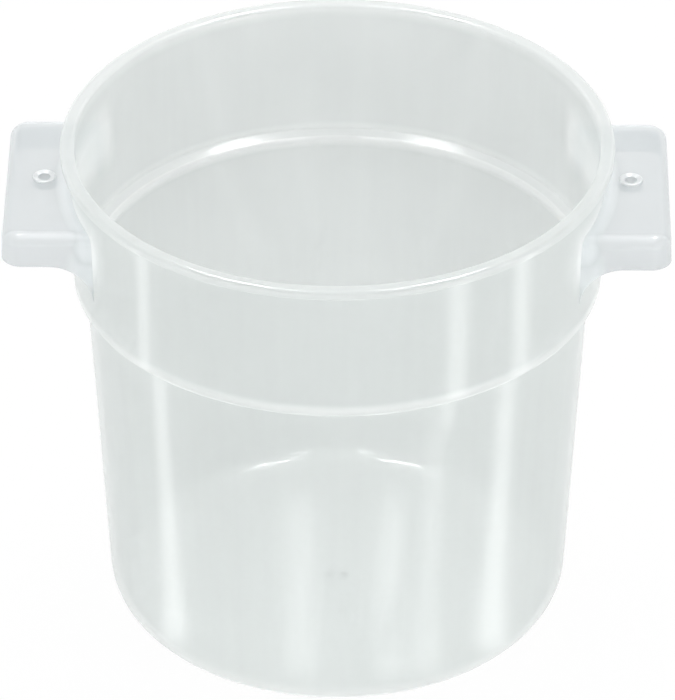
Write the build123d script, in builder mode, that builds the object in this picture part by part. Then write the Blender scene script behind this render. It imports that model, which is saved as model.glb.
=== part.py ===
from build123d import *
from math import sqrt
import os

# Round dough proofing container, one injection moulding in translucent polypropylene.
# All lengths are millimetres. +Z is up, the origin is on the resting plane under the
# middle of the floor, and the two handles lie on the X axis.
# The moulding is written as its zones, cut where one shape turns into the next, so
# that neighbouring zones meet face to face.

# Vessel
overall_height = 245.0
rim_radius = 126.0
lip_overhang = 4.0
lip_height = 4.3
lip_top_round = 1.8
lip_under_round = 0.6
lip_root_round = 0.8
wall = 2.5
collar_height = 69.5
collar_taper = 1.0
collar_edge_round = 2.5
step_width = 5.5
step_slope_drop = 2.5
step_root_round = 1.8
ledge_corner_round = 1.0
ledge_edge_round = 2.5
step_blend = 4.0
body_taper = 10.0
base_corner_radius = 20.0
floor_thickness = 2.8
foot_recess = 1.2
foot_width = 5.0

# Injection gate vestige, under the middle of the floor
gate_radius = 2.2
gate_height = 0.8
gate_edge_round = 0.3

# Handles: a flat tab whose edge rounds over into a slightly flared skirt, and a concave
# gusset under each end
tab_below_rim = 20.3
tab_reach = 28.8
tab_length = 102.0
tab_wall = 2.5
tab_corner_round = 9.0
tab_edge_round = 5.0
tab_inner_chamfer = 1.2
skirt_height = 15.6
skirt_flare = 0.5
gusset_radius = 20.0

# Bail eye: a ringed bore through each tab
eye_from_edge = 17.3
eye_radius = 5.5
eye_rise = 1.0
eye_drop = 1.5
eye_edge_round = 0.7
bail_bore_radius = 2.75
bore_mouth_chamfer = 0.4

# Heights and radii that follow
lip_bottom_z = overall_height - lip_height
shoulder_z = overall_height - collar_height
shoulder_low_z = shoulder_z - step_slope_drop
floor_bottom_z = foot_recess
floor_top_z = floor_bottom_z + floor_thickness
collar_top_radius = rim_radius - lip_overhang
collar_bottom_radius = collar_top_radius - collar_taper
body_top_radius = collar_bottom_radius - step_width
body_bottom_radius = body_top_radius - body_taper
foot_outer_radius = body_bottom_radius - base_corner_radius
recess_radius = foot_outer_radius - foot_width
step_bottom_z = shoulder_low_z - step_blend
step_top_z = shoulder_z + wall + step_blend


def body_outer_radius(height):
    """Outer radius of the tapered lower wall at a height, before the base corner's round."""
    return body_bottom_radius + body_taper * height / shoulder_low_z


# Corners of the outer outline, from the foot to the top of the lip, each with its round
outer_outline = [
    ((body_bottom_radius, 0), base_corner_radius),
    ((body_top_radius, shoulder_low_z), step_root_round),
    ((collar_bottom_radius, shoulder_z), collar_edge_round),
    ((collar_top_radius, lip_bottom_z), lip_root_round),
    ((rim_radius, lip_bottom_z), lip_under_round),
    ((rim_radius, overall_height), lip_top_round),
]

# Corners of the inner outline, from the top of the lip down to the floor
inner_outline = [
    ((collar_top_radius - wall, overall_height), lip_top_round),
    ((collar_bottom_radius - wall, shoulder_z + wall), ledge_corner_round),
    ((body_top_radius - wall, shoulder_low_z + wall), ledge_edge_round),
    ((body_outer_radius(floor_top_z) - wall, floor_top_z), base_corner_radius - wall),
]

# The underside of the floor is lifted clear of the table by the foot
under_outline = [
    ((0, floor_bottom_z), 0),
    ((recess_radius, floor_bottom_z), 0),
    ((recess_radius + foot_recess, 0), 0),
]

wall_outline = under_outline + outer_outline + inner_outline + [((0, floor_top_z), 0)]
filled_outline = [((0, 0), 0)] + outer_outline + [((0, overall_height), 0)]


def outline_face(outline):
    """Half section of a turned shape, from corners that each carry their own round."""
    with BuildSketch(Plane.XZ) as section:
        with BuildLine():
            FilletPolyline(
                *[corner for corner, _ in outline],
                radius=[corner_round for _, corner_round in outline],
                close=True,
            )
        make_face()
    return section.sketch


def turned_zone(label, inner, outer, bottom, top):
    """One turned zone of the vessel: its wall between two radii and two heights."""
    with BuildPart() as zone:
        with BuildSketch(Plane.XZ):
            add(vessel_section)
            with Locations((inner, bottom)):
                Rectangle(outer - inner, top - bottom, align=Align.MIN, mode=Mode.INTERSECT)
        revolve(axis=Axis.Z)
    zone.part.label = label
    export_step(zone.part, f"parts/{label}.step")


os.makedirs("parts", exist_ok=True)
vessel_section = outline_face(wall_outline)

# Vessel zones, from the floor up
turned_zone("floor_panel", 0, recess_radius, 0, floor_top_z)
turned_zone("base_corner", recess_radius, rim_radius, 0, base_corner_radius)
turned_zone("lower_wall", recess_radius, rim_radius, base_corner_radius, step_bottom_z)
turned_zone("stacking_step", recess_radius, rim_radius, step_bottom_z, step_top_z)
turned_zone("collar_wall", recess_radius, rim_radius, step_top_z, lip_bottom_z)
turned_zone("rim_lip", recess_radius, rim_radius, lip_bottom_z, overall_height)

# Gate vestige, a low button that stays clear of the table
with BuildPart() as gate_mark:
    with BuildSketch(Plane.XY.offset(floor_bottom_z)):
        Circle(gate_radius)
    extrude(amount=-gate_height)
    fillet(gate_mark.edges().sort_by(Axis.Z)[0], radius=gate_edge_round)
gate_mark.part.label = "gate_mark"
export_step(gate_mark.part, "parts/gate_mark.step")

# The vessel as a filled form, to trim the handles to its outside
with BuildPart() as filled_vessel:
    add(outline_face(filled_outline))
    revolve(axis=Axis.Z)

# Handle heights and places
tab_top_z = overall_height - tab_below_rim
plate_bottom_z = tab_top_z - tab_wall
skirt_bottom_z = tab_top_z - skirt_height
tab_edge_x = collar_top_radius + tab_reach
tab_half_length = tab_length / 2
skirt_half_length = tab_half_length + skirt_flare
eye_x = tab_edge_x - eye_from_edge
gusset_root_x = sqrt(collar_bottom_radius**2 - skirt_half_length**2)


def tab_outline(height, inset):
    """Plan of the tab at a height, drawn in by an inset, with its two outer corners rounded."""
    flare = skirt_flare * (tab_top_z - height) / skirt_height
    edge_x = tab_edge_x + flare - inset
    half_length = tab_half_length + flare - inset
    with BuildSketch(Plane.XY.offset(height)) as outline:
        Rectangle(edge_x, 2 * half_length, align=(Align.MIN, Align.CENTER))
        outer_corners = outline.vertices().group_by(Axis.X)[-1]
        fillet(outer_corners, radius=tab_corner_round + flare - inset)
    return outline.sketch


def tab_block(top, inset):
    """Drafted block below a height, drawn in by an inset, down to the skirt's foot."""
    outlines = [tab_outline(top, inset).face(), tab_outline(skirt_bottom_z, inset).face()]
    return loft(outlines, ruled=True)


def edges_over_skirt(block):
    """Top edges of a block, but for the one inside the vessel."""
    return block.faces().sort_by(Axis.Z)[-1].edges().sort_by(Axis.X)[1:]


# The tab's outside, its hollow, and the plane between plate and skirt
with BuildPart() as tab_form:
    tab_block(tab_top_z, 0)
    fillet(edges_over_skirt(tab_form), radius=tab_edge_round)
    add(filled_vessel.part, mode=Mode.SUBTRACT)

with BuildPart() as tab_hollow:
    tab_block(plate_bottom_z, tab_wall)
    chamfer(edges_over_skirt(tab_hollow), length=tab_inner_chamfer)

plate_underside = Plane.XY.offset(plate_bottom_z)

with BuildPart() as right_handle_plate:
    add(tab_form.part)
    split(bisect_by=plate_underside, keep=Keep.TOP)
    with Locations((eye_x, 0, tab_top_z)):
        Hole(radius=eye_radius, depth=tab_wall)
right_handle_plate.part.label = "right_handle_plate"
export_step(right_handle_plate.part, "parts/right_handle_plate.step")

with BuildPart() as right_handle_skirt:
    add(tab_form.part)
    split(bisect_by=plate_underside, keep=Keep.BOTTOM)
    add(tab_hollow.part, mode=Mode.SUBTRACT)
    # Concave gusset under each end of the skirt
    for side in (-1, 1):
        with BuildSketch(Plane.XZ.offset(side * (skirt_half_length - tab_wall / 2))):
            with BuildLine():
                gusset_curve = CenterArc(
                    (gusset_root_x + gusset_radius, skirt_bottom_z - gusset_radius),
                    gusset_radius,
                    start_angle=90,
                    arc_size=90,
                )
                Polyline(
                    gusset_curve @ 1,
                    (0, skirt_bottom_z - gusset_radius),
                    (0, skirt_bottom_z),
                    gusset_curve @ 0,
                )
            make_face()
        extrude(amount=tab_wall / 2, both=True)
    add(filled_vessel.part, mode=Mode.SUBTRACT)
right_handle_skirt.part.label = "right_handle_skirt"
export_step(right_handle_skirt.part, "parts/right_handle_skirt.step")

with BuildPart() as right_bail_eye:
    with BuildSketch(Plane.XY.offset(plate_bottom_z - eye_drop)):
        with Locations((eye_x, 0)):
            Circle(eye_radius)
            Circle(bail_bore_radius, mode=Mode.SUBTRACT)
    extrude(amount=eye_drop + tab_wall + eye_rise)
    top_rings = right_bail_eye.edges().group_by(Axis.Z)[-1].sort_by(SortBy.RADIUS)
    fillet(top_rings[-1], radius=eye_edge_round)
    mouth_ring = right_bail_eye.edges().group_by(Axis.Z)[-1].sort_by(SortBy.RADIUS)[0]
    chamfer(mouth_ring, length=bore_mouth_chamfer)
right_bail_eye.part.label = "right_bail_eye"
export_step(right_bail_eye.part, "parts/right_bail_eye.step")

# The left side is the right side mirrored
for piece in (right_handle_plate, right_handle_skirt, right_bail_eye):
    with BuildPart() as left_piece:
        mirror(piece.part, about=Plane.YZ)
    left_piece.part.label = piece.part.label.replace("right", "left")
    export_step(left_piece.part, f"parts/{left_piece.part.label}.step")
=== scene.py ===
"""Looks of a round translucent dough tub with two tab handles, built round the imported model.

All lengths are metres. +Z is up, +X runs through the right handle, and the photograph is taken
from the -Y side. The turned shell, the handles, the bail eyes and the gate button are surfaces
worked out with numpy on grids of two parameters.
"""

import logging
from dataclasses import dataclass
from enum import Enum
from math import cos, pi, radians, sin

import bpy
import numpy as np
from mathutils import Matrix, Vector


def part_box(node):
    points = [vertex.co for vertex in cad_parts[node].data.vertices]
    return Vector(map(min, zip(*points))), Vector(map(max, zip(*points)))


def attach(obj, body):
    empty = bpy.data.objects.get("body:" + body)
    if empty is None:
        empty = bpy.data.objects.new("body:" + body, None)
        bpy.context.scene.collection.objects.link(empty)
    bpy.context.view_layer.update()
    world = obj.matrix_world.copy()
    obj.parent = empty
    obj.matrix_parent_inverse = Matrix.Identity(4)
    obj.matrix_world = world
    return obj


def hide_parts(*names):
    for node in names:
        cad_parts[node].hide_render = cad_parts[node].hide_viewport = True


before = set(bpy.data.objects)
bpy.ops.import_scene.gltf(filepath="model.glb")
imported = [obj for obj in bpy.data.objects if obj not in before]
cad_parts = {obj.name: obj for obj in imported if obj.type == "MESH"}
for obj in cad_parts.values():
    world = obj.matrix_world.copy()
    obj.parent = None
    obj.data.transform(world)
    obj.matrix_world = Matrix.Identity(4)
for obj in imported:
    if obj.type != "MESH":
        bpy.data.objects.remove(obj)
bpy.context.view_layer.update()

log = logging.getLogger("dough_tub")

Colour = tuple[float, float, float]
Socket = bpy.types.NodeSocket

# Degrees by which the tub stands turned to the photograph's camera
VIEW_TURN = 0.6

# Points that agree to this many decimals of a metre are welded
WELD_DECIMALS = 7

# Points on each rounded corner of an outline
ARC_POINTS = 9


class Slot(Enum):
    """Material slots of the record."""

    TUB = "tub_plastic"
    HANDLE = "handle_plastic"


class Side(Enum):
    """The two sides that carry a handle, as the sign of X."""

    LEFT = -1
    RIGHT = 1

    @property
    def word(self) -> str:
        """Name of the side in a piece's name."""
        return self.name.lower()


def rounded_outline(corners: np.ndarray) -> np.ndarray:
    """Round the inner corners of an open outline with arcs.

    With a the direction before a corner, n the normal on the side that the outline turns to and
    t the turn so far, an arc's point is start + round * (a * sin t + n * (1 - cos t)). It starts
    round * tan(whole turn / 2) before the corner.

    Args:
        corners: Rows of two coordinates and a round; the first and last rounds aren't used.

    Returns:
        Rows of two coordinates: the first corner, ARC_POINTS for each inner one, and the last.
    """
    places = corners[:, :2]
    rounds = corners[1:-1, 2:]
    runs = np.diff(places, axis=0)
    runs /= np.linalg.norm(runs, axis=1, keepdims=True)
    before = runs[:-1]
    after = runs[1:]
    cross = before[:, :1] * after[:, 1:] - before[:, 1:] * after[:, :1]
    turn = np.arctan2(cross, (before * after).sum(axis=1, keepdims=True))
    towards = np.sign(turn) * np.column_stack([-before[:, 1], before[:, 0]])
    starts = places[1:-1] - before * rounds * np.tan(np.abs(turn) / 2)
    so_far = np.abs(turn)[:, :, None] * np.linspace(0, 1, ARC_POINTS)[None, :, None]
    along = before[:, None, :] * np.sin(so_far)
    across = towards[:, None, :] * (1 - np.cos(so_far))
    arcs = starts[:, None, :] + rounds[:, :, None] * (along + across)
    return np.vstack([places[:1], arcs.reshape(-1, 2), places[-1:]])


def divided(outline: np.ndarray, longest_run: float) -> np.ndarray:
    """Divide the runs of an outline evenly, so that none is longer than a length.

    Args:
        outline: Rows of two coordinates.
        longest_run: The length that no run passes.

    Returns:
        The outline with points added on its longer runs.
    """
    lengths = np.linalg.norm(np.diff(outline, axis=0), axis=1)
    counts = np.maximum(np.ceil(lengths / longest_run), 1).astype(int)
    run_number = np.repeat(np.arange(len(counts)), counts)
    first_of_run = np.repeat(np.cumsum(counts) - counts, counts)
    share = (np.arange(counts.sum()) - first_of_run) / counts[run_number]
    place = np.append(run_number + share, len(counts))
    whole = np.arange(len(outline))
    return np.column_stack([np.interp(place, whole, outline[:, axis]) for axis in (0, 1)])


@dataclass
class Sheet:
    """A grid of points and the quads between them."""

    points: np.ndarray
    quads: np.ndarray

    @classmethod
    def from_grid(cls, grid: np.ndarray) -> "Sheet":
        """Number the points of a grid row by row and join each four neighbours by a quad.

        Args:
            grid: Array of rows, columns and three coordinates.

        Returns:
            The sheet. Its faces point to the side of (column direction) x (row direction).
        """
        rows, columns = grid.shape[:2]
        number = np.arange(rows * columns).reshape(rows, columns)
        around = [number[:-1, :-1], number[:-1, 1:], number[1:, 1:], number[1:, :-1]]
        quads = np.stack(around, axis=-1).reshape(-1, 4)
        return cls(grid.reshape(-1, 3), quads)


@dataclass
class Skin:
    """Welded points with the quads and triangles on them."""

    points: np.ndarray
    quads: np.ndarray
    triangles: np.ndarray

    def edges(self) -> np.ndarray:
        """List the edges of all faces in the faces' own direction.

        Returns:
            Rows of two point numbers.
        """
        sides = [np.stack([faces, np.roll(faces, -1, axis=1)], axis=-1).reshape(-1, 2)
                 for faces in (self.quads, self.triangles)]
        return np.vstack(sides)

    def flipped(self) -> "Skin":
        """The same skin with its faces pointing the other way."""
        return Skin(self.points, self.quads[:, ::-1], self.triangles[:, ::-1])


def weld(sheet: Sheet, twin: np.ndarray | None = None) -> tuple[Skin, np.ndarray]:
    """Join the points of a sheet that coincide, which closes its seams and poles.

    A quad with one pair of joined neighbours becomes a triangle, and one with more is left out.

    Args:
        sheet: The sheet to weld.
        twin: Points of a second sheet that is welded in the same places, or None.

    Returns:
        The welded skin, and the points of the twin, or of the sheet itself, that are kept.
    """
    # The sum turns each -0.0 into 0.0
    rounded = np.round(sheet.points, WELD_DECIMALS) + 0.0
    _, first, number = np.unique(rounded, axis=0, return_index=True, return_inverse=True)
    quads = number.reshape(-1)[sheet.quads]
    joined = quads == np.roll(quads, -1, axis=1)
    whole = ~joined.any(axis=1)
    single = joined.sum(axis=1) == 1
    kept = ~joined[single]
    skin = Skin(sheet.points[first], quads[whole], quads[single][kept].reshape(-1, 3))
    return skin, (sheet.points if twin is None else twin)[first]


def walled(outer: Sheet, inner_points: np.ndarray) -> Skin:
    """Close two like sheets into one wall: the outer, the inner turned round, and their rims.

    An edge that only one face of the outer sheet has is on its border, and gets a quad across to
    the same edge of the inner sheet.

    Args:
        outer: The outer sheet.
        inner_points: The inner sheet's points, in the outer sheet's order.

    Returns:
        A closed skin.
    """
    skin, inside = weld(outer, inner_points)
    count = len(skin.points)
    edges = skin.edges()
    forward = edges[:, 0] * count + edges[:, 1]
    backward = edges[:, 1] * count + edges[:, 0]
    border = edges[~np.isin(forward, backward)]
    rims = np.column_stack([border[:, 1], border[:, 0], border[:, 0] + count, border[:, 1] + count])
    back = skin.flipped()
    return Skin(
        points=np.vstack([skin.points, inside]),
        quads=np.vstack([skin.quads, back.quads + count, rims]),
        triangles=np.vstack([skin.triangles, back.triangles + count]),
    )


def turned(outline: np.ndarray, around: int, centre: float = 0.0) -> Sheet:
    """Turn an outline round an upright axis.

    A point at radius r, height z and azimuth a is (centre + r cos a, r sin a, z).

    Args:
        outline: Rows of radius and height, in the order that puts the outside on its right.
        around: Number of steps round the axis.
        centre: X of the axis.

    Returns:
        The turned sheet, whose last column lies on its first one.
    """
    azimuth = np.linspace(0, 2 * pi, around + 1)
    radius = outline[:, :1]
    height = np.broadcast_to(outline[:, 1:], (len(outline), around + 1))
    grid = np.stack([centre + radius * np.cos(azimuth), radius * np.sin(azimuth), height], axis=-1)
    return Sheet.from_grid(grid)


def add_piece(name: str, skin: Skin, sharp_degrees: float) -> bpy.types.Object:
    """Put a skin into a mesh object at the origin and mark its sharp edges.

    Args:
        name: The piece's name.
        skin: Its closed skin.
        sharp_degrees: Edges that turn by more than this are drawn sharp.

    Returns:
        The new object.
    """
    mesh = bpy.data.meshes.new(name)
    mesh.from_pydata(skin.points.tolist(), [], skin.quads.tolist() + skin.triangles.tolist())
    mesh.polygons.foreach_set("use_smooth", np.ones(len(mesh.polygons), dtype=bool))
    mesh.set_sharp_from_angle(angle=radians(sharp_degrees))
    mesh.update()
    piece = bpy.data.objects.new(name, mesh)
    bpy.context.scene.collection.objects.link(piece)
    return piece


def finish_piece(piece: bpy.types.Object, material: bpy.types.Material, slot: Slot,
                 *nodes: str) -> None:
    """Dress a piece, let it ride on the tub and say which nodes of the model it stands for.

    Args:
        piece: The piece.
        material: Its finish.
        slot: The record's material slot; not used.
        nodes: Names of the nodes that it replaces.
    """
    piece.data.materials.append(material)
    normals = piece.modifiers.new("even_shading", "WEIGHTED_NORMAL")
    normals.keep_sharp = True
    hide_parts(*nodes)
    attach(piece, "root")
    log.info("%s: %d faces, stands for %s", piece.name, len(piece.data.polygons), ", ".join(nodes))


class NodeDesk:
    """Short ways to add and join the nodes of one material or world."""

    def __init__(self, tree: bpy.types.NodeTree) -> None:
        """Start on an empty tree."""
        self.tree = tree
        tree.nodes.clear()

    def add(self, kind: str, settings: dict[str, object] | None = None,
            **inputs: object) -> bpy.types.Node:
        """Add a node.

        Args:
            kind: The node's type name.
            settings: Values of the node's own properties.
            inputs: Values or output sockets for its inputs, named in lower case with underscores.

        Returns:
            The node.
        """
        node = self.tree.nodes.new(kind)
        for name, value in (settings or {}).items():
            setattr(node, name, value)
        for name, value in inputs.items():
            named = [socket for socket in node.inputs
                     if socket.enabled and socket.identifier.lower().replace(" ", "_") == name]
            self.feed(named[0], value)
        return node

    def feed(self, socket: Socket, value: object) -> None:
        """Give an input socket a value, or join an output socket to it.

        Args:
            socket: The input socket.
            value: The value or the output socket.
        """
        if isinstance(value, Socket):
            self.tree.links.new(value, socket)
        else:
            socket.default_value = value

    def math(self, operation: str, *values: object, clamp: bool = False) -> Socket:
        """Add a Math node.

        Args:
            operation: What it does.
            values: Values or output sockets, in the order of its inputs.
            clamp: True if the result is kept between 0 and 1.

        Returns:
            Its output.
        """
        node = self.tree.nodes.new("ShaderNodeMath")
        node.operation = operation
        node.use_clamp = clamp
        for socket, value in zip(node.inputs, values):
            self.feed(socket, value)
        return node.outputs[0]

    def blend(self, share: Socket, first: object, second: object) -> Socket:
        """Mix two colours.

        Args:
            share: Share of the second colour.
            first: The first colour or its socket.
            second: The second colour or its socket.

        Returns:
            The mixed colour.
        """
        node = self.add("ShaderNodeMix", {"data_type": "RGBA"}, a_color=first, b_color=second)
        self.feed(node.inputs[0], share)
        return node.outputs[2]

    def mix(self, share: object, first: Socket, second: Socket) -> Socket:
        """Mix two shaders.

        Args:
            share: Share of the second shader, a number or an output socket.
            first: The first shader.
            second: The second shader.

        Returns:
            The mixed shader.
        """
        node = self.tree.nodes.new("ShaderNodeMixShader")
        for socket, value in zip(node.inputs, (share, first, second)):
            self.feed(socket, value)
        return node.outputs[0]

    def from_middle(self, share: Socket) -> Socket:
        """How far a share from 0 to 1 lies from its middle: |2 * share - 1|."""
        return self.math("ABSOLUTE", self.math("MULTIPLY_ADD", share, 2.0, -1.0))

    def fade(self, value: Socket, limit: float, reach: float) -> Socket:
        """Fade softly from one to nothing where a value passes a limit.

        Args:
            value: The value.
            limit: Up to here the fade is one.
            reach: It is nothing from limit + reach on.

        Returns:
            The fade.
        """
        node = self.add("ShaderNodeMapRange", {"interpolation_type": "SMOOTHSTEP"},
                        value=value, from_min=limit + reach, from_max=limit)
        return node.outputs[0]

    def noise(self, vector: Socket, scale: float, detail: float) -> Socket:
        """Add a noise pattern.

        Args:
            vector: The coordinate that it is drawn on.
            scale: Waves for each unit of the coordinate.
            detail: Number of finer patterns added to the first.

        Returns:
            Its value, about a half on average.
        """
        node = self.add("ShaderNodeTexNoise", vector=vector, scale=scale, detail=detail)
        return node.outputs[0]


@dataclass(frozen=True)
class PaintedLightZone:
    """Painted light: a band made whiter to look lit or less shaded, fading over its reach up and
    down.

    It runs from least_length to half_length on both sides of the plane through the handles, and
    from the least to the most radius, and fades away past these limits.
    """

    level: float
    reach: float
    amount: float = 1.0
    least_length: float = 0.0
    half_length: float = 1.0
    least_radius: float = 0.0
    most_radius: float = 1.0
    fade: float = 0.003


@dataclass(frozen=True)
class DarkSpot:
    """A round spot that looks darker, about each of the upright axes at plus and minus axis_x."""

    axis_x: float
    radius: float
    fade: float
    colour: Colour
    haze: float


@dataclass(frozen=True)
class Polypropylene:
    """Natural milky polypropylene: each surface lets part of the light straight through.

    The haze is the share that a surface stops when it is looked at squarely. It drifts with a
    cloud pattern and with fine flow lines that run from the gate outwards and up the walls, by
    cloud_share * (cloud - 1/2) + flow_share * (flow - 1/2), and it rises by edge_haze towards a
    grazing view, where the way through the plastic is longer. In each zone of painted light the
    colour turns to the whiter painted-light colour and the haze rises by the painted-light haze.
    In a dark spot both follow the spot.
    """

    name: str
    colour: Colour
    shade_colour: Colour
    haze: float
    roughness: float
    specular_level: float
    gloss_weight: float
    gloss_roughness: float
    texture_depth: float
    clear_colour: Colour = (0.99, 0.997, 1.0)
    edge_haze: float = 0.15
    cloud_share: float = 0.05
    flow_share: float = 0.0
    roughness_spread: float = 0.08
    backlit_share: float = 0.3
    painted_light_zones: tuple[PaintedLightZone, ...] = ()
    painted_light_colour: Colour = (0.96, 0.97, 0.965)
    painted_light_haze: float = 0.12
    dark_spot: DarkSpot | None = None
    edge_power: float = 2.5
    cloud_scale: float = 26.0
    cloud_detail: float = 3.0
    flow_turns: float = 16.0
    flow_rise: float = 9.0
    fine_detail: float = 2.0
    texture_scale: float = 620.0
    refraction: float = 1.49

    def build(self) -> bpy.types.Material:
        """Make the material.

        Returns:
            The new material.
        """
        material = bpy.data.materials.new(self.name)
        material.use_nodes = True
        desk = NodeDesk(material.node_tree)
        place = desk.add("ShaderNodeTexCoord").outputs["Object"]
        cloud = desk.noise(place, self.cloud_scale, self.cloud_detail)
        flow = desk.noise(self._flow_place(desk, place), 1.0, self.fine_detail)
        cloud_part = desk.math("MULTIPLY_ADD", cloud, self.cloud_share, -self.cloud_share / 2)
        flow_part = desk.math("MULTIPLY_ADD", flow, self.flow_share, -self.flow_share / 2)
        haze = desk.math("ADD", desk.math("ADD", cloud_part, flow_part), self.haze)
        milky = desk.blend(cloud, (*self.colour, 1.0), (*self.shade_colour, 1.0))
        # Painted light: the zones make the colour whiter and the haze thicker where the plastic
        # should look lit
        if self.painted_light_zones:
            white = self._painted_light(desk, place)
            haze = desk.math("MULTIPLY_ADD", white, self.painted_light_haze, haze)
            milky = desk.blend(white, milky, (*self.painted_light_colour, 1.0))
        if self.dark_spot:
            dark = self._dark(desk, place)
            haze = desk.math("MULTIPLY_ADD", dark, self.dark_spot.haze, haze)
            milky = desk.blend(dark, milky, (*self.dark_spot.colour, 1.0))
        facing = desk.add("ShaderNodeLayerWeight").outputs["Facing"]
        edge = desk.math("POWER", facing, self.edge_power)
        haze = desk.math("MULTIPLY_ADD", edge, self.edge_haze, haze, clamp=True)
        clear = desk.add("ShaderNodeBsdfTransparent", color=(*self.clear_colour, 1.0))
        plastic = self._plastic(desk, place, milky, flow)
        surface = desk.mix(haze, clear.outputs[0], plastic)
        desk.add("ShaderNodeOutputMaterial", surface=surface)
        return material

    def _flow_place(self, desk: NodeDesk, place: Socket) -> Socket:
        """Work out the coordinate of the flow lines.

        Args:
            desk: The material's desk.
            place: The point's place.

        Returns:
            (flow_turns * x / r, flow_turns * y / r, flow_rise * z), with r the level distance
            from the axis, so that it changes quickly round the axis and slowly with height.
        """
        parts = desk.add("ShaderNodeSeparateXYZ", vector=place)
        level = desk.add("ShaderNodeCombineXYZ", x=parts.outputs[0], y=parts.outputs[1])
        outwards = desk.add("ShaderNodeVectorMath", {"operation": "NORMALIZE"})
        desk.feed(outwards.inputs[0], level.outputs[0])
        compass = desk.add("ShaderNodeSeparateXYZ", vector=outwards.outputs[0])
        turned_x = desk.math("MULTIPLY", compass.outputs[0], self.flow_turns)
        turned_y = desk.math("MULTIPLY", compass.outputs[1], self.flow_turns)
        rise = desk.math("MULTIPLY", parts.outputs[2], self.flow_rise)
        return desk.add("ShaderNodeCombineXYZ", x=turned_x, y=turned_y, z=rise).outputs[0]

    def _painted_light(self, desk: NodeDesk, place: Socket) -> Socket:
        """Work out how far a point lies in the zones of painted light.

        Args:
            desk: The material's desk.
            place: The point's place.

        Returns:
            The largest of the zones' amounts there, or nothing outside them all.
        """
        parts = desk.add("ShaderNodeSeparateXYZ", vector=place)
        aside = desk.math("ABSOLUTE", parts.outputs[1])
        outwards = self._from_axis(desk, place, 0.0)
        inwards = desk.math("MULTIPLY", outwards, -1.0)
        middlewards = desk.math("MULTIPLY", aside, -1.0)
        white: Socket | float = 0.0
        for zone in self.painted_light_zones:
            away = desk.math("ABSOLUTE", desk.math("SUBTRACT", parts.outputs[2], zone.level))
            shown = desk.math("MULTIPLY", desk.fade(away, 0.0, zone.reach), zone.amount)
            limits = ((aside, zone.half_length), (middlewards, -zone.least_length),
                      (outwards, zone.most_radius), (inwards, -zone.least_radius))
            for value, limit in limits:
                shown = desk.math("MULTIPLY", shown, desk.fade(value, limit, zone.fade))
            white = desk.math("MAXIMUM", white, shown)
        return white

    def _dark(self, desk: NodeDesk, place: Socket) -> Socket:
        """How far a point lies in a dark spot, from 0 to 1."""
        away = self._from_axis(desk, place, self.dark_spot.axis_x)
        return desk.fade(away, self.dark_spot.radius, self.dark_spot.fade)

    def _from_axis(self, desk: NodeDesk, place: Socket, axis_x: float) -> Socket:
        """Work out how far a point lies from the nearer of two upright axes.

        Args:
            desk: The material's desk.
            place: The point's place.
            axis_x: The axes stand at plus and minus this X.

        Returns:
            The root of (|x| - axis_x)^2 + y^2.
        """
        parts = desk.add("ShaderNodeSeparateXYZ", vector=place)
        across = desk.math("SUBTRACT", desk.math("ABSOLUTE", parts.outputs[0]), axis_x)
        level = desk.add("ShaderNodeCombineXYZ", x=across, y=parts.outputs[1])
        away = desk.add("ShaderNodeVectorMath", {"operation": "LENGTH"})
        desk.feed(away.inputs[0], level.outputs[0])
        return away.outputs[1]

    def _plastic(self, desk: NodeDesk, place: Socket, milky: Socket, flow: Socket) -> Socket:
        """Make the part of the surface that scatters light, under a smoother gloss.

        Args:
            desk: The material's desk.
            place: The point's place.
            milky: The plastic's colour.
            flow: The flow lines' value.

        Returns:
            The shader.
        """
        fine = desk.noise(place, self.texture_scale, self.fine_detail)
        low = self.roughness - self.roughness_spread / 2
        roughness = desk.math("MULTIPLY_ADD", flow, self.roughness_spread, low)
        bump = desk.add("ShaderNodeBump", strength=1.0, distance=self.texture_depth, height=fine)
        shader = desk.add("ShaderNodeBsdfPrincipled", base_color=milky,
                          roughness=roughness, ior=self.refraction, normal=bump.outputs[0],
                          specular_ior_level=self.specular_level, coat_weight=self.gloss_weight,
                          coat_roughness=self.gloss_roughness, coat_ior=self.refraction)
        backlit = desk.add("ShaderNodeBsdfTranslucent", color=milky)
        return desk.mix(self.backlit_share, shader.outputs[0], backlit.outputs[0])


FLOOR_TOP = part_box("floor_panel")[1].z
STEP_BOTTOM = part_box("stacking_step")[0].z
LIP_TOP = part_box("rim_lip")[1].z
TAB_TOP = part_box("right_handle_plate")[1].z
SKIRT_HALF_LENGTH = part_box("right_handle_skirt")[1].y
EYE_AXIS_X = (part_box("right_bail_eye")[0].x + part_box("right_bail_eye")[1].x) / 2

# How far the middles of the zones of painted light lie above or below these levels
FLOOR_DEPTH = 0.001
SHOULDER_RISE = 0.0090
LEDGE_RISE = 0.0055
LIP_DEPTH = 0.002
ROOT_DEPTH = 0.010
NECK_DEPTH = 0.006
GUSSET_DEPTH = 0.022

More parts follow.
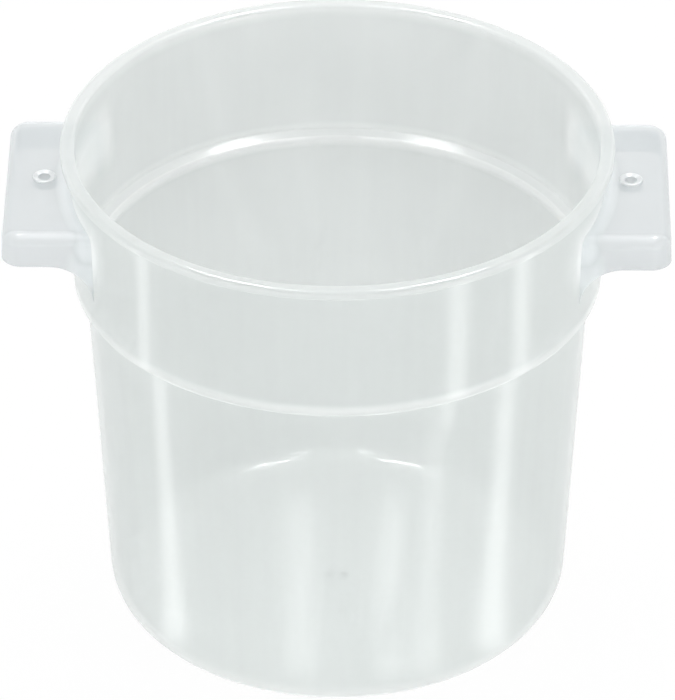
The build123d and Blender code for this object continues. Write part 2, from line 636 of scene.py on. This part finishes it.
TUB_FINISH = Polypropylene(
    name="milky_tub_plastic",
    colour=(0.745, 0.765, 0.76),
    shade_colour=(0.705, 0.725, 0.72),
    haze=0.48,
    roughness=0.4,
    specular_level=0.15,
    gloss_weight=1.0,
    gloss_roughness=0.1,
    texture_depth=0.00001,
    clear_colour=(0.99, 1.0, 0.997),
    edge_haze=0.2,
    flow_share=0.03,
    roughness_spread=0.06,
    # Painted light: the floor lit brighter, a painted highlight line along the shoulder, a lit band
    # on the ledge, a lighter lip top, and lifted shade round the handle roots
    painted_light_zones=(
        PaintedLightZone(FLOOR_TOP - FLOOR_DEPTH, reach=0.006, amount=2.8),
        PaintedLightZone(STEP_BOTTOM + SHOULDER_RISE, reach=0.0045, amount=0.7, least_radius=0.119,
                  fade=0.001),
        PaintedLightZone(STEP_BOTTOM + LEDGE_RISE, reach=0.0035, amount=1.0, most_radius=0.1140,
                  fade=0.001),
        PaintedLightZone(LIP_TOP - LIP_DEPTH, reach=0.005, amount=0.4),
        PaintedLightZone(TAB_TOP - ROOT_DEPTH, reach=0.022, amount=1.3,
                  half_length=SKIRT_HALF_LENGTH, fade=0.008),
    ),
    dark_spot=DarkSpot(axis_x=0.0034, radius=0.0015, fade=0.0007, colour=(0.37, 0.39, 0.39),
                       haze=0.38),
)

HANDLE_FINISH = Polypropylene(
    name="milky_handle_plastic",
    colour=(0.71, 0.73, 0.74),
    shade_colour=(0.67, 0.69, 0.70),
    haze=0.44,
    roughness=0.38,
    specular_level=0.2,
    gloss_weight=0.8,
    gloss_roughness=0.15,
    texture_depth=0.00002,
    backlit_share=0.65,
    # Painted light: a slightly lighter plate top, end skirts painted as if lit through from behind,
    # and lifted shade at the neck and over the gussets
    painted_light_zones=(
        PaintedLightZone(TAB_TOP, reach=0.005, amount=0.12),
        PaintedLightZone(TAB_TOP, reach=0.006, amount=0.6, least_length=0.0465, fade=0.002),
        PaintedLightZone(TAB_TOP - NECK_DEPTH, reach=0.015, amount=1.5, most_radius=0.1240, fade=0.006),
        PaintedLightZone(TAB_TOP - GUSSET_DEPTH, reach=0.018, amount=1.2, most_radius=0.1275,
                  fade=0.006),
    ),
    painted_light_colour=(0.88, 0.90, 0.91),
    painted_light_haze=0.15,
)

EYE_FINISH = Polypropylene(
    name="milky_eye_plastic",
    colour=(0.84, 0.85, 0.855),
    shade_colour=(0.81, 0.82, 0.825),
    haze=0.71,
    roughness=0.35,
    specular_level=0.4,
    gloss_weight=1.0,
    gloss_roughness=0.12,
    texture_depth=0.00001,
    # Painted shade: the bore is coloured darker as the shade inside the hole
    dark_spot=DarkSpot(axis_x=EYE_AXIS_X, radius=0.0028, fade=0.0002,
                       colour=(0.74, 0.76, 0.77), haze=0.0),
)


@dataclass
class Vessel:
    """The turned tub: foot, floor, base corner, tapered wall, stacking step, collar and lip."""

    rim_radius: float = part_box("rim_lip")[1].x
    overall_height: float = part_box("rim_lip")[1].z
    lip_bottom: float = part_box("rim_lip")[0].z
    lip_overhang: float = 0.004
    lip_top_round: float = 0.0018
    lip_under_round: float = 0.0006
    lip_root_round: float = 0.0008
    wall: float = 0.0025
    collar_height: float = 0.0695
    collar_taper: float = 0.001
    collar_edge_round: float = 0.0025
    step_width: float = 0.0055
    step_slope_drop: float = 0.0025
    step_root_round: float = 0.0018
    ledge_corner_round: float = 0.001
    ledge_edge_round: float = 0.0025
    body_taper: float = 0.010
    base_corner_radius: float = 0.020
    floor_top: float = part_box("floor_panel")[1].z
    floor_bottom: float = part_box("floor_panel")[0].z
    recess_radius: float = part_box("floor_panel")[1].x
    steps_round: int = 288
    longest_run: float = 0.006
    wave_depth: float = 0.00012
    slow_waves: int = 3
    slow_twist: float = 40.0
    quick_waves: int = 7
    quick_twist: float = -25.0
    sharp_degrees: float = 40.0

    @property
    def collar_top_radius(self) -> float:
        """Outer radius of the collar under the lip."""
        return self.rim_radius - self.lip_overhang

    @property
    def collar_bottom_radius(self) -> float:
        """Outer radius of the collar at the shoulder."""
        return self.collar_top_radius - self.collar_taper

    @property
    def shoulder(self) -> float:
        """Height of the shoulder's outer corner."""
        return self.overall_height - self.collar_height

    def collar_radius(self, height: np.ndarray | float) -> np.ndarray | float:
        """Outer radius of the collar at a height, between the shoulder and the lip."""
        share = (height - self.shoulder) / (self.lip_bottom - self.shoulder)
        return self.collar_bottom_radius + self.collar_taper * share

    def outline(self) -> np.ndarray:
        """Half section of the tub, from under the floor's middle round to its top.

        Returns:
            Rows of radius and height.
        """
        body_top = self.collar_bottom_radius - self.step_width
        body_bottom = body_top - self.body_taper
        shoulder_low = self.shoulder - self.step_slope_drop
        inner_bottom = body_bottom + self.body_taper * self.floor_top / shoulder_low - self.wall
        corners = [
            (0, self.floor_bottom, 0),
            (self.recess_radius, self.floor_bottom, 0),
            (self.recess_radius + self.floor_bottom, 0, 0),
            (body_bottom, 0, self.base_corner_radius),
            (body_top, shoulder_low, self.step_root_round),
            (self.collar_bottom_radius, self.shoulder, self.collar_edge_round),
            (self.collar_top_radius, self.lip_bottom, self.lip_root_round),
            (self.rim_radius, self.lip_bottom, self.lip_under_round),
            (self.rim_radius, self.overall_height, self.lip_top_round),
            (self.collar_top_radius - self.wall, self.overall_height, self.lip_top_round),
            (self.collar_bottom_radius - self.wall, self.shoulder + self.wall,
             self.ledge_corner_round),
            (body_top - self.wall, shoulder_low + self.wall, self.ledge_edge_round),
            (inner_bottom, self.floor_top, self.base_corner_radius - self.wall),
            (0, self.floor_top, 0),
        ]
        return divided(rounded_outline(np.array(corners, dtype=float)), self.longest_run)

    def shell(self) -> Skin:
        """The whole tub as one closed skin with slightly uneven walls.

        With a the azimuth of a point and z its height, its slow wave is 1 + sin(slow_waves * a +
        slow_twist * z), and its quick wave likewise. It moves inwards by wave_depth * f * s * slow
        * quick / 4, where f fades from one below the collar to nothing at the lip, and s rises
        from nothing in the middle of the floor to one at the foot. On the axis nothing moves, and
        a point nearer to it than one wall moves in proportion to its radius.

        Returns:
            The skin.
        """
        sheet = turned(self.outline(), self.steps_round)
        x, y, z = sheet.points.T
        azimuth = np.arctan2(y, x)
        fade = np.clip((self.lip_bottom - z) / self.collar_height, 0, 1)
        slow = 1 + np.sin(self.slow_waves * azimuth + self.slow_twist * z)
        quick = 1 + np.sin(self.quick_waves * azimuth + self.quick_twist * z)
        radius = np.hypot(x, y)
        spread = np.clip(radius / self.recess_radius, 0, 1)
        inwards = self.wave_depth * fade * slow * quick / 4 * spread
        share = 1 - inwards / np.maximum(radius, self.wall)
        sheet.points[:, 0] = x * share
        sheet.points[:, 1] = y * share
        return weld(sheet)[0]

    def build(self, material: bpy.types.Material) -> None:
        """Make and dress the tub.

        Args:
            material: Its finish.
        """
        piece = add_piece("tub_shell", self.shell(), self.sharp_degrees)
        finish_piece(piece, material, Slot.TUB, "floor_panel", "base_corner", "lower_wall",
                     "stacking_step", "collar_wall", "rim_lip")


@dataclass
class GateButton:
    """The small button that the injection gate leaves under the middle of the floor."""

    top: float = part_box("gate_mark")[1].z
    bottom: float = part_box("gate_mark")[0].z
    radius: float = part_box("gate_mark")[1].x
    edge_round: float = 0.0003
    dish_radius: float = 0.0011
    dish_depth: float = 0.0003
    steps_round: int = 48
    sharp_degrees: float = 50.0

    def build(self, material: bpy.types.Material) -> None:
        """Make and dress the button: a low disc with the gate's shallow dish in its face.

        Args:
            material: Its finish.
        """
        corners = [
            (0, self.bottom + self.dish_depth, 0),
            (self.dish_radius / 2, self.bottom + self.dish_depth, self.edge_round),
            (self.dish_radius, self.bottom, self.edge_round),
            (self.radius, self.bottom, self.edge_round),
            (self.radius, self.top, 0),
            (0, self.top, 0),
        ]
        sheet = turned(rounded_outline(np.array(corners)), self.steps_round)
        piece = add_piece("gate_button", weld(sheet)[0], self.sharp_degrees)
        finish_piece(piece, material, Slot.TUB, "gate_mark")


@dataclass
class Handle:
    """A flat tab that rounds over into a skirt, with a concave gusset under each end and an eye."""

    side: Side
    vessel: Vessel
    top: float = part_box("right_handle_plate")[1].z
    plate_bottom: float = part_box("right_handle_plate")[0].z
    skirt_edge_x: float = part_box("right_handle_skirt")[1].x
    skirt_half_length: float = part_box("right_handle_skirt")[1].y
    skirt_height: float = 0.0156
    skirt_flare: float = 0.0005
    wall: float = 0.0025
    corner_round: float = 0.009
    edge_round: float = 0.005
    edge_run: float = 0.006
    inner_round: float = 0.0025
    gusset_radius: float = 0.020
    root_sink: float = 0.0002
    eye_from_edge: float = 0.0173
    eye_radius: float = 0.0055
    eye_top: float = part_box("right_bail_eye")[1].z
    eye_bottom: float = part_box("right_bail_eye")[0].z
    eye_edge_round: float = 0.0007
    bore_radius: float = 0.00275
    dish_depth: float = 0.0009
    soft_edge: float = 0.0002
    seat_overlap: float = 0.00005
    side_columns: int = 30
    corner_columns: int = 12
    edge_columns: int = 24
    root_columns: int = 40
    plate_rows: int = 6
    gusset_rows: int = 8
    eye_steps: int = 72
    bevel_width: float = 0.0005
    bevel_segments: int = 2
    bevel_degrees: float = 60.0
    sharp_degrees: float = 38.0

    @property
    def tab_edge_x(self) -> float:
        """X of the tab's outer edge."""
        return self.skirt_edge_x - self.skirt_flare

    @property
    def half_length(self) -> float:
        """Half the tab's length along the tub."""
        return self.skirt_half_length - self.skirt_flare

    @property
    def eye_x(self) -> float:
        """X of the bail eye's axis."""
        return self.tab_edge_x - self.eye_from_edge

    def root_x(self, y: np.ndarray | float, z: np.ndarray | float) -> np.ndarray:
        """X where the handle sinks a little into the collar: the root of radius^2 - y^2."""
        radius = self.vessel.collar_radius(z) - self.root_sink
        return np.sqrt(radius**2 - y**2)

    def columns(self) -> np.ndarray:
        """Stations round the tab's plan, from the front root along the edge and back by the root.

        Returns:
            Rows for X, Y, the outward X and Y, how far the station lies from the root towards its
            own X, from 0 to 1, and 1 where the skirt hangs under it.
        """
        corner_x = self.tab_edge_x - self.corner_round
        corner_y = self.half_length - self.corner_round
        out = np.linspace(0, 1, self.side_columns)
        turn = np.linspace(0, pi / 2, self.corner_columns)[1:-1]
        along = np.linspace(-1, 1, self.edge_columns)
        root = np.linspace(1, -1, self.root_columns)[1:-1]

        def rows(*parts: np.ndarray | float) -> np.ndarray:
            """Parts as columns of one array."""
            return np.column_stack(np.broadcast_arrays(*parts))

        front = rows(corner_x, -self.half_length, 0, -1, out, 1)
        front_corner = rows(
            corner_x + self.corner_round * np.sin(turn),
            -corner_y - self.corner_round * np.cos(turn),
            np.sin(turn), -np.cos(turn), 1, 1)
        edge = rows(self.tab_edge_x, corner_y * along, 1, 0, 1, 1)
        mirrored = (1, -1, 1, -1, 1, 1)
        back_corner = front_corner[::-1] * mirrored
        back = front[::-1] * mirrored
        rooted = rows(corner_x, self.half_length * root, 0, root, 0, 0)
        # The first station once more, but without the skirt
        closing = front[:1] * (1, 1, 1, 1, 1, 0)
        return np.vstack([front, front_corner, edge, back_corner, back, rooted, closing])

    def section(self, inset: float, plate_height: float, corner_round: float) -> np.ndarray:
        """Draw the edge and the skirt of one side of the wall.

        Args:
            inset: How far this side lies inside the outer one.
            plate_height: Height of the plate on this side.
            corner_round: Round between the plate and the skirt.

        Returns:
            Rows of offset from the tab's plan and height, from the plate to the skirt's foot.
        """
        slope = self.skirt_flare / self.skirt_height
        corner = slope * (self.top - plate_height) - inset
        foot = self.skirt_flare - inset
        corners = [
            (corner - self.edge_run, plate_height, 0),
            (corner, plate_height, corner_round),
            (foot, self.top - self.skirt_height, 0),
        ]
        return rounded_outline(np.array(corners))

    def place(self, stations: np.ndarray, offset: np.ndarray, height: np.ndarray) -> np.ndarray:
        """Points at an offset from the tab's plan and a height.

        The station's X is drawn to the root by its share: x = root + share * (own x - root).

        Args:
            stations: Rows of columns().
            offset: Rows of offsets, one column for each station.
            height: The same for heights.

        Returns:
            Array of rows, stations and three coordinates.
        """
        own_x, own_y, out_x, out_y, share, _ = stations.T
        y = own_y + offset * out_y
        root = self.root_x(y, height)
        x = root + share * (own_x + offset * out_x - root)
        return np.stack([x, y, height], axis=-1)

    def face(self, inset: float, plate_height: float, corner_round: float) -> np.ndarray:
        """Grid of one side of the handle's wall, from the eye outwards and down the skirt.

        The plate's rows run straight from the eye's circle to the edge. The gusset's rows hang
        under the skirt's foot by share * (g - sqrt(g^2 - (r + g - x)^2)), with g the gusset's
        radius and r the X of its root.

        Args:
            inset: How far this side lies inside the outer one.
            plate_height: Height of the plate on this side.
            corner_round: Round between the plate and the skirt.

        Returns:
            Array of rows, stations and three coordinates.
        """
        stations = self.columns()
        *_, skirted = stations.T
        section = self.section(inset, plate_height, corner_round)
        base = section[0, 0]
        offset = base + (section[:, :1] - base) * skirted
        height = plate_height + (section[:, 1:] - plate_height) * skirted
        skirt = self.place(stations, offset, height)
        edge = skirt[0]
        angle = np.arctan2(edge[:, 1], edge[:, 0] - self.eye_x)
        hole = self.eye_radius - self.seat_overlap
        circle = np.column_stack([
            self.eye_x + hole * np.cos(angle),
            hole * np.sin(angle),
            np.full(len(angle), plate_height),
        ])
        share = np.linspace(0, 1, self.plate_rows + 1)[:-1, None, None]
        plate = circle + share * (edge - circle)
        gusset_x = self.root_x(self.skirt_half_length, self.top - self.skirt_height)
        reach = np.clip(gusset_x + self.gusset_radius - skirt[-1, :, 0], 0, self.gusset_radius)
        drop = (self.gusset_radius - np.sqrt(self.gusset_radius**2 - reach**2)) * skirted
        hang = np.linspace(0, 1, self.gusset_rows + 1)[1:, None]
        low = height[-1] - hang * drop
        foot = np.broadcast_to(offset[-1], low.shape)
        return np.concatenate([plate, skirt, self.place(stations, foot, low)])

    def tab_skin(self) -> Skin:
        """Build the tab, its skirt and its gussets as they are on the right side.

        Returns:
            Their closed skin.
        """
        outer = self.face(0.0, self.top, self.edge_round)
        inner = self.face(self.wall, self.plate_bottom, self.inner_round)
        sheet = Sheet.from_grid(outer[:, ::-1])
        skirted = self.columns()[::-1, -1] > 0
        cell_skirted = skirted[:-1] & skirted[1:]
        on_plate = np.arange(outer.shape[0] - 1)[:, None] < self.plate_rows
        sheet.quads = sheet.quads[(cell_skirted | on_plate).ravel()]
        return walled(sheet, inner[:, ::-1].reshape(-1, 3))

    def eye_skin(self) -> Skin:
        """Build the bail eye, a ring dished down to its bore, as it is on the right side.

        Returns:
            Its closed skin.
        """
        middle = (self.bore_radius + self.eye_radius) / 2
        corners = [
            (middle, self.eye_bottom, 0),
            (self.eye_radius, self.eye_bottom, self.soft_edge),
            (self.eye_radius, self.eye_top, self.eye_edge_round),
            (self.bore_radius, self.eye_top - self.dish_depth, self.soft_edge),
            (self.bore_radius, self.eye_bottom, self.soft_edge),
            (middle, self.eye_bottom, 0),
        ]
        return weld(turned(rounded_outline(np.array(corners)), self.eye_steps, self.eye_x))[0]

    def on_side(self, skin: Skin) -> Skin:
        """Put a skin of the right side on the handle's own side.

        Args:
            skin: The skin as it is on the right.

        Returns:
            The skin itself, or on the left its mirror image in X with its faces turned back.
        """
        if self.side is Side.RIGHT:
            return skin
        mirrored = skin.flipped()
        mirrored.points = skin.points * (-1, 1, 1)
        return mirrored

    def build(self, material: bpy.types.Material, eye_material: bpy.types.Material) -> None:
        """Make and dress the handle and its eye.

        Args:
            material: The tab's finish.
            eye_material: The eye's finish.
        """
        word = self.side.word
        tab = add_piece(f"{word}_handle", self.on_side(self.tab_skin()), self.sharp_degrees)
        bevel = tab.modifiers.new("soft_edges", "BEVEL")
        bevel.width = self.bevel_width
        bevel.segments = self.bevel_segments
        bevel.limit_method = "ANGLE"
        bevel.angle_limit = radians(self.bevel_degrees)
        finish_piece(tab, material, Slot.HANDLE, f"{word}_handle_plate", f"{word}_handle_skirt")
        eye = add_piece(f"{word}_eye_ring", self.on_side(self.eye_skin()), self.sharp_degrees)
        finish_piece(eye, eye_material, Slot.HANDLE, f"{word}_bail_eye")


def white_for_eye(desk: NodeDesk, lit: Socket, share: float, background: bool) -> Socket:
    """Mix a plain white glow of strength 1 into a shader, for rays that show the background.

    Args:
        desk: The tree's desk.
        lit: The shader that lights the object.
        share: Share of the white glow for those rays.
        background: True in a world, False in a material.

    Returns:
        The mixed shader.
    """
    rays = desk.add("ShaderNodeLightPath").outputs
    glossy = desk.math("MAXIMUM", rays["Is Camera Ray"], rays["Is Glossy Ray"])
    seen = desk.math("MAXIMUM", glossy, rays["Is Transmission Ray"])
    kind = "ShaderNodeBackground" if background else "ShaderNodeEmission"
    glow = desk.add(kind, color=(1.0, 1.0, 1.0, 1.0), strength=1.0)
    return desk.mix(desk.math("MULTIPLY", seen, share), lit, glow.outputs[0])


@dataclass(frozen=True)
class Lamp:
    """A rectangular studio lamp. Azimuth 0 is the viewer's side and 90 the right handle's."""

    name: str
    azimuth: float
    width: float
    height: float
    radiance: float
    gloss_only: bool = False
    watts_per_radiance: float = 4.0

    def hang(self, location: tuple[float, float, float], lift: float) -> bpy.types.Object:
        """Add the lamp.

        Args:
            location: Its middle.
            lift: How far above the level it lies from what it lights, in radians.

        Returns:
            The lamp's object.
        """
        lamp = bpy.data.lights.new(self.name, "AREA")
        lamp.shape = "RECTANGLE"
        lamp.size = self.width
        lamp.size_y = self.height
        lamp.energy = self.radiance * self.watts_per_radiance * self.width * self.height
        holder = bpy.data.objects.new(self.name, lamp)
        holder.location = location
        holder.rotation_euler = (pi / 2 - lift, 0, radians(self.azimuth))
        holder.visible_camera = False
        holder.visible_diffuse = not self.gloss_only
        bpy.context.scene.collection.objects.link(holder)
        log.info("lamp %s: %.1f W", self.name, lamp.energy)
        return holder


@dataclass(frozen=True)
class SoftBox(Lamp):
    """A lamp at a distance from the tub's middle, which it looks at."""

    elevation: float = 0.0
    distance: float = 2.0
    middle: float = LIP_TOP / 2

    def build(self) -> None:
        """Add the soft box."""
        turn = radians(self.azimuth)
        lift = radians(self.elevation)
        level = self.distance * cos(lift)
        height = self.middle + self.distance * sin(lift)
        place = (level * sin(turn), -level * cos(turn), height)
        self.hang(place, lift)


@dataclass(frozen=True)
class CeilingTube(Lamp):
    """A lamp on the ceiling that looks straight down; at azimuth 90 it runs front to back."""

    across: float = 0.0
    behind: float = 0.0
    level: float = 1.7

    def build(self) -> None:
        """Add the lamp."""
        self.hang((self.across, self.behind, self.level), pi / 2)


@dataclass(frozen=True)
class FloorCard(Lamp):
    """A soft-edged bright card on the floor that only the gloss shows, as an upright streak.

    Its azimuth is that of the streak on the wall. A view that comes level over the viewer's side
    leaves the wall at twice that azimuth and meets the floor at floor_run times the height. The
    card widens from near_share of its width to all of it, so that the streak keeps its width.
    """

    gloss_only: bool = True
    low: float = 0.0
    wall_radius: float = 0.110
    floor_run: float = 1.2
    clearance: float = 0.003
    near_share: float = 0.35
    core_share: float = 0.1
    end_share: float = 0.12

    def build(self) -> None:
        """Add the card for a streak that starts at the low height and is as long as the card."""
        foot = radians(self.azimuth + VIEW_TURN)
        leaving = 2 * foot
        reach = self.low * self.floor_run + self.height / 2
        place = (
            self.wall_radius * sin(foot) + reach * sin(leaving),
            -self.wall_radius * cos(foot) - reach * cos(leaving),
            self.clearance,
        )
        card = self.hang(place, -pi / 2)
        card.rotation_euler[2] = leaving
        card.data.use_nodes = True
        self._shape(NodeDesk(card.data.node_tree))

    def _shape(self, desk: NodeDesk) -> None:
        """Soften the card's sides and ends: full in its core, nothing at its border.

        Args:
            desk: The desk of the card's light.
        """
        parts = desk.add("ShaderNodeSeparateXYZ",
                         vector=desk.add("ShaderNodeNewGeometry").outputs["Parametric"])
        across, along = parts.outputs[:2]
        half = desk.math("MULTIPLY_ADD", along, 1 - self.near_share, self.near_share)
        aside = desk.math("DIVIDE", desk.from_middle(across), half)
        side = desk.fade(aside, self.core_share, 1 - self.core_share)
        end = desk.fade(desk.from_middle(along), 1 - self.end_share, self.end_share)
        glow = desk.add("ShaderNodeEmission", strength=desk.math("MULTIPLY", side, end))
        desk.add("ShaderNodeOutputLight", surface=glow.outputs[0])


# Each lamp's name, azimuth, width, height and radiance, then True if only the gloss shows it
LAMPS = (
    # Soft boxes that light the plastic from the front and from behind
    SoftBox("front_left_key", -60, 0.9, 1.0, 4.2, elevation=8, distance=2.2),
    SoftBox("front_right_key", 60, 0.9, 1.0, 4.6, elevation=8, distance=2.2),
    SoftBox("front_fill", 0, 1.2, 0.4, 1.0, elevation=6, distance=1.6),
    SoftBox("left_back_key", -145, 1.0, 0.9, 1.4, elevation=30, distance=2.2),
    SoftBox("right_back_key", 145, 1.0, 0.9, 1.4, elevation=30, distance=2.2),
    # Tubes and panels on the ceiling that the rim, the ledge and the floor show, and a wash
    CeilingTube("left_back_tube", 90, 0.9, 0.05, 40.0, across=-0.36, behind=0.8),
    CeilingTube("right_back_tube", 90, 0.9, 0.05, 40.0, across=0.36, behind=0.8),
    CeilingTube("left_front_tube", 90, 0.5, 0.05, 12.0, across=-0.36, behind=-0.65),
    CeilingTube("right_front_tube", 90, 0.5, 0.05, 12.0, across=0.36, behind=-0.65),
    CeilingTube("left_panel", 90, 0.45, 0.28, 85.0, True, across=-0.41, behind=0.31),
    CeilingTube("right_panel", 90, 0.42, 0.28, 110.0, True, across=0.42, behind=0.36),
    CeilingTube("left_front_panel", 90, 0.2, 0.14, 60.0, True, across=-0.27, behind=-0.5),
    CeilingTube("right_front_panel", 90, 0.2, 0.14, 60.0, True, across=0.38, behind=-0.5),
    CeilingTube("ceiling_wash", 0, 1.2, 1.2, 1.65, level=2.0),
    # Cards on the floor that the front wall shows as upright streaks
    FloorCard("left_card", -46.5, 0.09, 0.42, 3.4),
    FloorCard("right_card", 43, 0.11, 0.42, 3.8),
    FloorCard("front_left_card", -9.5, 0.09, 0.155, 2.6, end_share=0.4),
    FloorCard("front_right_card", 13.5, 0.09, 0.155, 3.2, end_share=0.4),
    FloorCard("low_right_card", 23.5, 0.08, 0.24, 2.4),
    FloorCard("high_right_card", 26.3, 0.13, 0.20, 5.2, low=0.15),
)


@dataclass
class Studio:
    """Plain pale floor, the lamps, white surroundings and the photograph's camera."""

    floor_radius: float = 7.0
    floor_rings: int = 8
    floor_steps: int = 64
    floor_sharp_degrees: float = 40.0
    floor_colour: Colour = (0.92, 0.92, 0.92)
    floor_roughness: float = 0.8
    floor_roughness_spread: float = 0.1
    floor_grain_scale: float = 300.0
    floor_grain_detail: float = 2.0
    floor_specular: float = 0.2
    floor_glow_share: float = 0.97
    sky_strength: float = 0.3
    sky_colour: Colour = (0.97, 1.0, 1.0)
    picture_height: int = 700
    focal_pixels: float = 7495.0
    film_width: float = 36.0
    distance_in_rims: float = 27.0
    view_elevation: float = 32.05
    tilt_down: float = 33.65

    def build_floor(self) -> None:
        """Add the floor, a wide round sheet at the resting plane."""
        radii = np.linspace(0, self.floor_radius, self.floor_rings)[::-1]
        sheet = turned(np.column_stack([radii, np.zeros(self.floor_rings)]), self.floor_steps)
        floor = add_piece("studio_floor", weld(sheet)[0], self.floor_sharp_degrees)
        material = bpy.data.materials.new("studio_floor_paper")
        material.use_nodes = True
        desk = NodeDesk(material.node_tree)
        place = desk.add("ShaderNodeTexCoord").outputs["Object"]
        grain = desk.noise(place, self.floor_grain_scale, self.floor_grain_detail)
        roughness = desk.math("MULTIPLY_ADD", grain, self.floor_roughness_spread,
                              self.floor_roughness)
        paper = desk.add("ShaderNodeBsdfPrincipled", base_color=(*self.floor_colour, 1.0),
                         roughness=roughness, specular_ior_level=self.floor_specular)
        seen = white_for_eye(desk, paper.outputs[0], self.floor_glow_share, False)
        desk.add("ShaderNodeOutputMaterial", surface=seen)
        floor.data.materials.append(material)

    def build_world(self) -> None:
        """Add the soft surrounding light, white where the eye sees it."""
        world = bpy.data.worlds.new("studio_surroundings")
        world.use_nodes = True
        desk = NodeDesk(world.node_tree)
        sky = desk.add("ShaderNodeBackground", color=(*self.sky_colour, 1.0),
                       strength=self.sky_strength)
        seen = white_for_eye(desk, sky.outputs[0], 1.0, True)
        desk.add("ShaderNodeOutputWorld", surface=seen)
        bpy.context.scene.world = world

    def build_camera(self, vessel: Vessel) -> None:
        """Add the camera, whose distance and height follow from the rim.

        Args:
            vessel: The tub that it looks at.
        """
        camera = bpy.data.cameras.new("photo_camera")
        camera.sensor_width = self.film_width
        camera.lens = self.focal_pixels * self.film_width / self.picture_height
        holder = bpy.data.objects.new("photo_camera", camera)
        distance = self.distance_in_rims * vessel.rim_radius
        lift = radians(self.view_elevation)
        level = distance * cos(lift)
        turn = radians(VIEW_TURN)
        height = vessel.overall_height + distance * sin(lift)
        holder.location = (level * sin(turn), -level * cos(turn), height)
        holder.rotation_euler = (pi / 2 - radians(self.tilt_down), 0, turn)
        bpy.context.scene.collection.objects.link(holder)
        bpy.context.scene.camera = holder

    def build(self, vessel: Vessel) -> None:
        """Make the floor, the surroundings, the lamps and the camera.

        Args:
            vessel: The tub in the middle.
        """
        self.build_floor()
        self.build_world()
        for lamp in LAMPS:
            lamp.build()
        self.build_camera(vessel)
        bpy.context.scene.view_settings.view_transform = "Standard"


def main() -> None:
    logging.basicConfig(level=logging.INFO, format="%(name)s %(message)s")
    vessel = Vessel()
    tub_plastic = TUB_FINISH.build()
    handle_plastic = HANDLE_FINISH.build()
    eye_plastic = EYE_FINISH.build()
    vessel.build(tub_plastic)
    GateButton().build(tub_plastic)
    for side in Side:
        Handle(side, vessel).build(handle_plastic, eye_plastic)
    Studio().build(vessel)
    bpy.context.view_layer.update()


if __name__ == "__main__":
    main()
